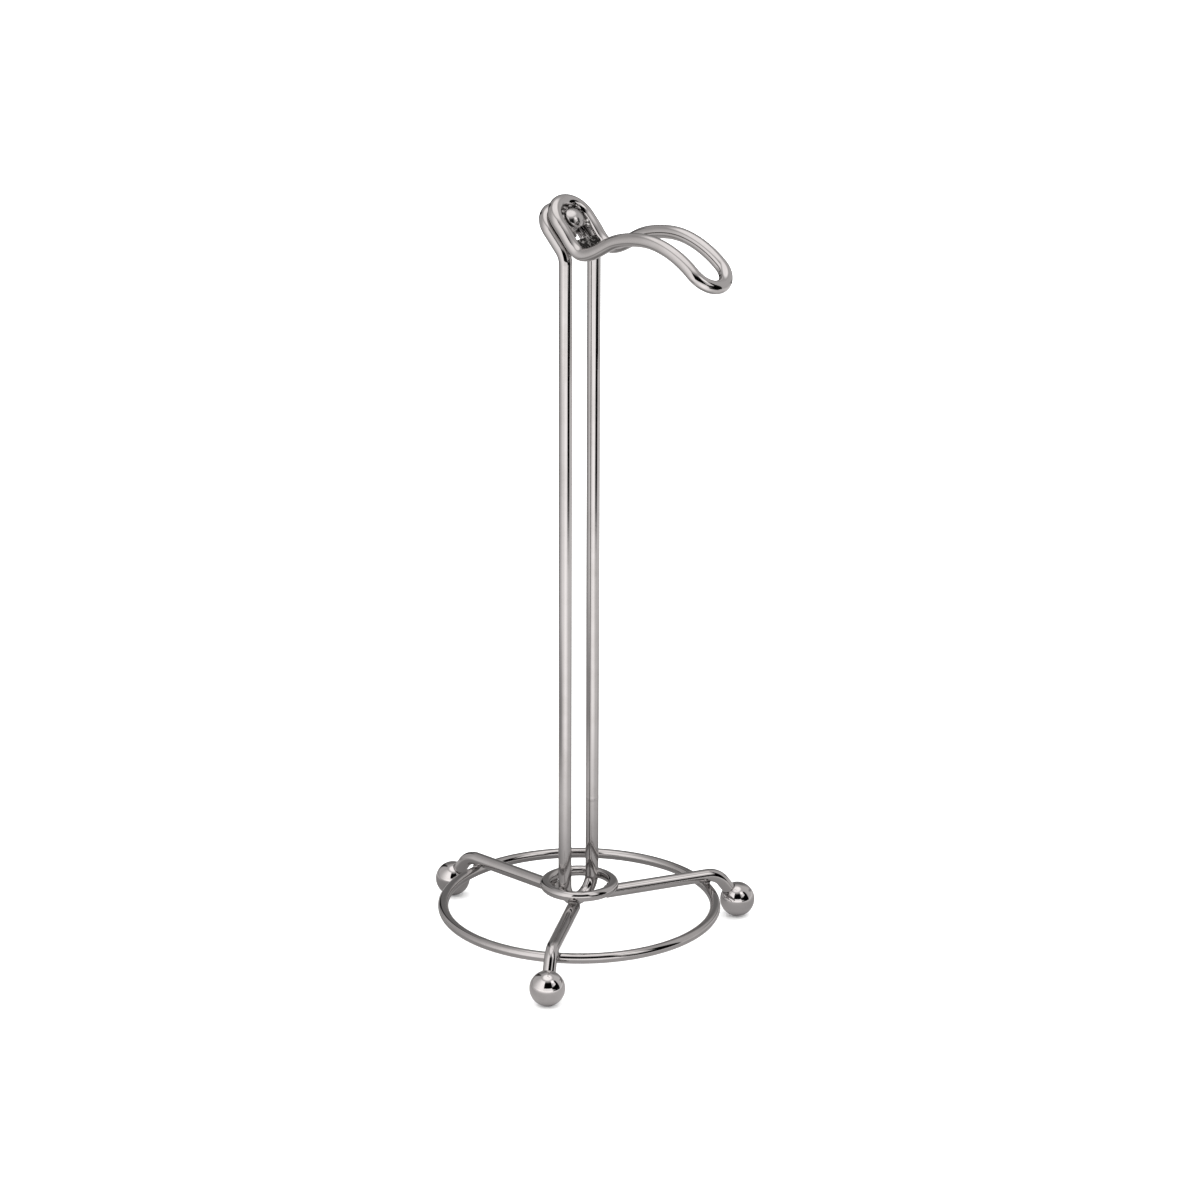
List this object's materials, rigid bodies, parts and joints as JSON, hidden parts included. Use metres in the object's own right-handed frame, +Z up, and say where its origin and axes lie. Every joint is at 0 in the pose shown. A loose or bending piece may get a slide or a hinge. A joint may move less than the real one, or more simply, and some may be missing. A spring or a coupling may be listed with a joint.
{
  "type": "banana hook stand",
  "caption": "Countertop wire stand: ring base on ball feet, post of one closed wire loop, and a curved closed-loop hook that turns on a screw at the post's bent-back top.",
  "frame": {"origin": "on the table, under the centre of the bounding box; the flats of the ball feet lie at z = 0", "axes": "+Z up, +X the way the hook points, +Y across the two parallel wires"},
  "size_m": [0.1662, 0.1506, 0.3471],
  "materials": {
    "base_ring": "polished chrome plate on wire",
    "hub_ring": "polished chrome plate on wire",
    "leg_rear": "polished chrome plate on wire",
    "leg_front_left": "polished chrome plate on wire",
    "leg_front_right": "polished chrome plate on wire",
    "ball_foot_rear": "polished chrome plate",
    "ball_foot_front_left": "polished chrome plate",
    "ball_foot_front_right": "polished chrome plate",
    "post_loop": "polished chrome plate on wire, butt-weld line low on one upright",
    "post_plate": "plated sheet, weld marks at its edge",
    "hook_loop": "polished chrome plate on wire",
    "hook_plate": "plated sheet, weld marks at its edge",
    "hook_brace": "dark plated sheet with rough weld marks",
    "pivot_screw": "polished dome head",
    "pivot_spacer": "zinc plate",
    "lock_washer": "zinc plate",
    "pivot_nut": "zinc plate"
  },
  "bodies": {
    "stand": {"base_ring": "base_ring", "hub_ring": "hub_ring", "leg_rear": "leg_rear", "leg_front_left": "leg_front_left", "leg_front_right": "leg_front_right", "ball_foot_rear": "ball_foot_rear", "ball_foot_front_left": "ball_foot_front_left", "ball_foot_front_right": "ball_foot_front_right", "post_loop": "post_loop", "post_plate": "post_plate", "pivot_screw": "pivot_screw", "pivot_spacer": "pivot_spacer", "lock_washer": "lock_washer", "pivot_nut": "pivot_nut"},
    "hook": {"hook_loop": "hook_loop", "hook_plate": "hook_plate", "hook_brace": "hook_brace"}
  },
  "joints": [
    {"name": "hook_swivel", "type": "hinge", "parent": "stand", "child": "hook", "pos_m": [-0.0018, 0, 0.33714], "axis": [0.7314, 0, 0.682], "range_deg": [-180, 180]}
  ]
}
